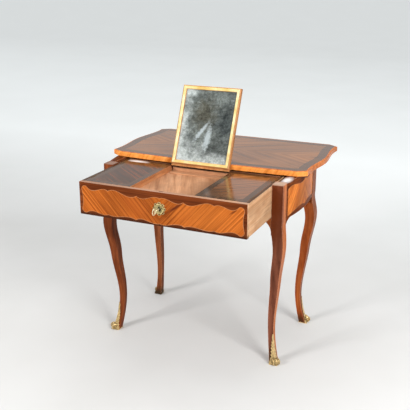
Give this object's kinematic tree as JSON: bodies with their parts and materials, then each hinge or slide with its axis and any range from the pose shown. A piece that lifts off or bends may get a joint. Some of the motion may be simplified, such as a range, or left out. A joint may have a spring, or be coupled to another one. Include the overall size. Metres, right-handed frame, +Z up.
{
  "type": "lady's writing desk with a sliding top",
  "caption": "Small veneered writing desk on curved legs with gilt shoes, a sliding top, a pull-out fitted drawer with lids and key, and a gilt-framed folding mirror.",
  "frame": {"origin": "On the floor, under the middle of the object's box as it stands in the picture, with the drawer out and the top pushed back.", "axes": "X runs along the front from left to right, Y from the drawer's front to the back, Z up."},
  "size_m": [0.81, 0.8446, 0.9712],
  "materials": {
    "mahogany": "french polished",
    "satinwood_veneer": "french polished, striped grain",
    "amaranth_veneer": "french polished",
    "oak": "bare, worn",
    "gilt_bronze": "gilt, rubbed",
    "gilt_wood": "gilded, burnished",
    "hinge_brass": "tarnished",
    "iron_lock": "forged, dull",
    "mirror_plate": "old silvering, foxed"
  },
  "bodies": {
    "carcass": {"front_left_leg": "mahogany", "front_right_leg": "mahogany", "back_left_leg": "mahogany", "back_right_leg": "mahogany", "front_left_sabot": "gilt_bronze", "front_right_sabot": "gilt_bronze", "back_left_sabot": "gilt_bronze", "back_right_sabot": "gilt_bronze", "left_side_rail": "amaranth_veneer", "right_side_rail": "amaranth_veneer", "left_side_veneer": "satinwood_veneer", "right_side_veneer": "satinwood_veneer", "back_rail": "mahogany", "front_rail": "mahogany", "left_drawer_runner": "oak", "right_drawer_runner": "oak", "tenon_pegs": "oak"},
    "top": {"top_board": "mahogany", "top_edge_moulding": "mahogany", "top_border": "amaranth_veneer", "top_field_left": "satinwood_veneer", "top_field_right": "satinwood_veneer", "left_top_cleat": "oak", "right_top_cleat": "oak", "cleat_screws": "iron_lock", "strike_plate": "iron_lock"},
    "drawer": {"drawer_front": "amaranth_veneer", "drawer_front_veneer_left": "satinwood_veneer", "drawer_front_veneer_right": "satinwood_veneer", "drawer_left_side": "oak", "drawer_right_side": "oak", "drawer_back": "oak", "drawer_bottom": "oak", "left_partition": "oak", "right_partition": "oak", "drawer_cross_rail": "oak", "well_floor": "oak", "rear_deck": "amaranth_veneer", "left_lid_rest": "oak", "right_lid_rest": "oak", "lid_hinges_fixed": "hinge_brass", "escutcheon": "gilt_bronze", "lock_case": "iron_lock"},
    "lock_bolt": {"lock_bolt": "iron_lock"},
    "key": {"key": "gilt_bronze"},
    "left_lid": {"left_lid": "amaranth_veneer", "left_lid_veneer": "satinwood_veneer", "left_lid_leaves": "hinge_brass"},
    "right_lid": {"right_lid": "amaranth_veneer", "right_lid_veneer": "satinwood_veneer", "right_lid_leaves": "hinge_brass"},
    "mirror_rail": {"mirror_foot_rail": "mahogany", "mirror_hinges_fixed": "hinge_brass"},
    "mirror": {"mirror_backboard": "mahogany", "mirror_glass": "mirror_plate", "mirror_leaves": "hinge_brass", "mirror_frame_bottom": "gilt_wood", "mirror_frame_top": "gilt_wood", "mirror_frame_left": "gilt_wood", "mirror_frame_right": "gilt_wood"}
  },
  "joints": [
    {"name": "top_slide", "type": "slide", "parent": "carcass", "child": "top", "axis": [0, -1, 0], "range_m": [0, 0.137]},
    {"name": "drawer_slide", "type": "slide", "parent": "carcass", "child": "drawer", "axis": [0, 1, 0], "range_m": [0, 0.227]},
    {"name": "left_lid_hinge", "type": "hinge", "parent": "drawer", "child": "left_lid", "pos_m": [-0.29985, -0.19715, 0.686], "axis": [0, 1, 0], "range_deg": [-100, 0]},
    {"name": "right_lid_hinge", "type": "hinge", "parent": "drawer", "child": "right_lid", "pos_m": [0.29985, -0.19715, 0.686], "axis": [0, -1, 0], "range_deg": [-100, 0]},
    {"name": "mirror_lift", "type": "slide", "parent": "top", "child": "mirror_rail", "axis": [0, 0, 1], "range_m": [0, 0.3]},
    {"name": "mirror_fold", "type": "hinge", "parent": "mirror_rail", "child": "mirror", "pos_m": [0, -0.04831, 0.6857], "axis": [-1, 0, 0], "range_deg": [-112.9, 0]},
    {"name": "key_turn", "type": "hinge", "parent": "drawer", "child": "key", "pos_m": [0, -0.37265, 0.6295], "axis": [0, 1, 0], "range_deg": [0, 180]},
    {"name": "lock_bolt_slide", "type": "slide", "parent": "drawer", "child": "lock_bolt", "axis": [0, 0, 1], "range_m": [0, 0.009]}
  ],
  "couplings": [
    {"joint": "key_turn", "follows": "lock_bolt_slide", "rad_per_m": 349.07}
  ]
}
